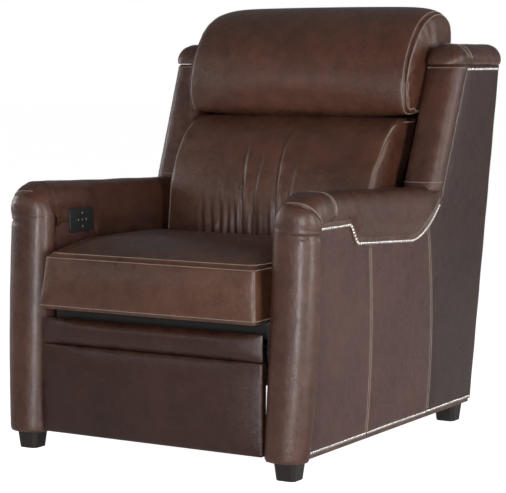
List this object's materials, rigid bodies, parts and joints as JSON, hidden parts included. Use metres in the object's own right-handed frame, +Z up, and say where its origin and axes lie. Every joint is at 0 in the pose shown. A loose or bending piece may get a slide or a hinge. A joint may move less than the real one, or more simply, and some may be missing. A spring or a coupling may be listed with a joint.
{
  "type": "power recliner armchair",
  "caption": "Leather club armchair with a powered footrest, back and headrest, scrolled arms with nail trim, wing sides and tapered feet",
  "frame": {"origin": "on the floor, at the middle of the whole chair's width and depth", "axes": "+Z up; -Y is the front, the way the sitter faces; +X is the sitter's left"},
  "size_m": [0.8646, 1.0876, 1.0835],
  "materials": {
    "leather_shell": "hand-rubbed, semi-gloss",
    "leather_pad": "hand-rubbed, semi-gloss",
    "foot_wood": "dark stained, satin",
    "mechanism_steel": "black powder coat",
    "frame_wood": "raw plywood",
    "rod_steel": "bright",
    "casing": "matte",
    "key_plastic": "satin",
    "gland_rubber": "matte",
    "deck_cloth": "woven"
  },
  "bodies": {
    "root": {"arm_front_roll_right": "leather_shell", "arm_front_roll_left": "leather_shell", "arm_scroll_right": "leather_shell", "arm_scroll_left": "leather_shell", "arm_pad_right": "leather_pad", "arm_pad_left": "leather_pad", "arm_panel_right": "leather_shell", "arm_panel_left": "leather_shell", "wing_panel_right": "leather_shell", "wing_panel_left": "leather_shell", "wing_roll_right": "leather_shell", "wing_roll_left": "leather_shell", "wing_cap_right": "leather_shell", "wing_cap_left": "leather_shell", "plinth_right": "leather_shell", "plinth_left": "leather_shell", "foot_front_right": "foot_wood", "foot_front_left": "foot_wood", "foot_rear_right": "foot_wood", "foot_rear_left": "foot_wood", "mechanism_rail_right": "mechanism_steel", "mechanism_rail_left": "mechanism_steel", "outside_back": "leather_shell", "back_top_cap": "leather_shell", "plinth_rear": "leather_shell", "rear_stretcher": "mechanism_steel", "recline_actuator": "casing", "power_gland": "gland_rubber", "keypad_housing": "casing"},
    "seat": {"carriage_plate_right": "mechanism_steel", "carriage_plate_left": "mechanism_steel", "seat_cross_bar": "mechanism_steel", "seat_front_rail": "frame_wood", "seat_rear_rail": "frame_wood", "seat_deck": "deck_cloth", "seat_cushion": "leather_pad", "recline_rod": "rod_steel", "footrest_actuator": "casing"},
    "back": {"back_board": "frame_wood", "back_frame": "mechanism_steel", "back_cushion": "leather_pad", "headrest_actuator": "casing"},
    "headrest": {"headrest_frame": "mechanism_steel", "headrest_cushion": "leather_pad"},
    "headrest_rod": {"headrest_rod": "rod_steel"},
    "footrest": {"footrest_drive": "mechanism_steel"},
    "front_links": {"front_link_right": "mechanism_steel", "front_link_left": "mechanism_steel"},
    "control_links": {"control_link_right": "mechanism_steel", "control_link_left": "mechanism_steel"},
    "ottoman": {"ottoman_frame": "frame_wood", "ottoman_pad": "leather_pad"},
    "band": {"band_frame": "frame_wood", "band_pad": "leather_pad"},
    "footrest_rod": {"footrest_rod": "rod_steel"},
    "key_up": {"key_up": "key_plastic"},
    "key_down": {"key_down": "key_plastic"},
    "key_forward": {"key_forward": "key_plastic"},
    "key_back": {"key_back": "key_plastic"},
    "key_home": {"key_home": "key_plastic"}
  },
  "joints": [
    {"name": "seat_slide", "type": "slide", "parent": "root", "child": "seat", "axis": [0, -1, 0], "range_m": [0, 0.2]},
    {"name": "back_recline", "type": "hinge", "parent": "seat", "child": "back", "pos_m": [0, 0.135, 0.34], "axis": [-1, 0, 0], "range_deg": [0, 20]},
    {"name": "headrest_tilt", "type": "hinge", "parent": "back", "child": "headrest", "pos_m": [0, 0.232, 0.803], "axis": [1, 0, 0], "range_deg": [0, 22]},
    {"name": "headrest_rod_slide", "type": "slide", "parent": "back", "child": "headrest_rod", "axis": [0, 0.3746, 0.9272], "range_m": [0, 0.036]},
    {"name": "footrest_fold", "type": "hinge", "parent": "seat", "child": "footrest", "pos_m": [0, -0.36877, 0.285], "axis": [-1, 0, 0], "range_deg": [0, 90]},
    {"name": "front_link_turn", "type": "hinge", "parent": "footrest", "child": "front_links", "pos_m": [0, -0.33885, 0.07209], "axis": [1, 0, 0], "range_deg": [0, 127.03]},
    {"name": "control_link_turn", "type": "hinge", "parent": "seat", "child": "control_links", "pos_m": [0, -0.45652, 0.2807], "axis": [-1, 0, 0], "range_deg": [0, 119.84]},
    {"name": "ottoman_turn", "type": "hinge", "parent": "front_links", "child": "ottoman", "pos_m": [0, -0.45377, 0.28847], "axis": [-1, 0, 0], "range_deg": [0, 127.03]},
    {"name": "band_turn", "type": "hinge", "parent": "front_links", "child": "band", "pos_m": [0, -0.43031, 0.24431], "axis": [-1, 0, 0], "range_deg": [0, 127.03]},
    {"name": "footrest_rod_slide", "type": "slide", "parent": "seat", "child": "footrest_rod", "axis": [0, -1, 0], "range_m": [0, 0.085]},
    {"name": "key_up_press", "type": "slide", "parent": "root", "child": "key_up", "axis": [-1, 0, 0], "range_m": [0, 0.0012], "stiffness_N_per_m": 600},
    {"name": "key_down_press", "type": "slide", "parent": "root", "child": "key_down", "axis": [-1, 0, 0], "range_m": [0, 0.0012], "stiffness_N_per_m": 600},
    {"name": "key_forward_press", "type": "slide", "parent": "root", "child": "key_forward", "axis": [-1, 0, 0], "range_m": [0, 0.0012], "stiffness_N_per_m": 600},
    {"name": "key_back_press", "type": "slide", "parent": "root", "child": "key_back", "axis": [-1, 0, 0], "range_m": [0, 0.0012], "stiffness_N_per_m": 600},
    {"name": "key_home_press", "type": "slide", "parent": "root", "child": "key_home", "axis": [-1, 0, 0], "range_m": [0, 0.0012], "stiffness_N_per_m": 600}
  ],
  "couplings": [
    {"joint": "back_recline", "follows": "seat_slide", "rad_per_m": 1.7453},
    {"joint": "headrest_rod_slide", "follows": "headrest_tilt", "m_per_rad": 0.0925},
    {"joint": "front_link_turn", "follows": "footrest_fold", "ratio": 1.4114},
    {"joint": "control_link_turn", "follows": "footrest_fold", "ratio": 1.3314},
    {"joint": "ottoman_turn", "follows": "footrest_fold", "ratio": 1.4114},
    {"joint": "band_turn", "follows": "footrest_fold", "ratio": 1.4114},
    {"joint": "footrest_rod_slide", "follows": "footrest_fold", "m_per_rad": 0.054}
  ]
}
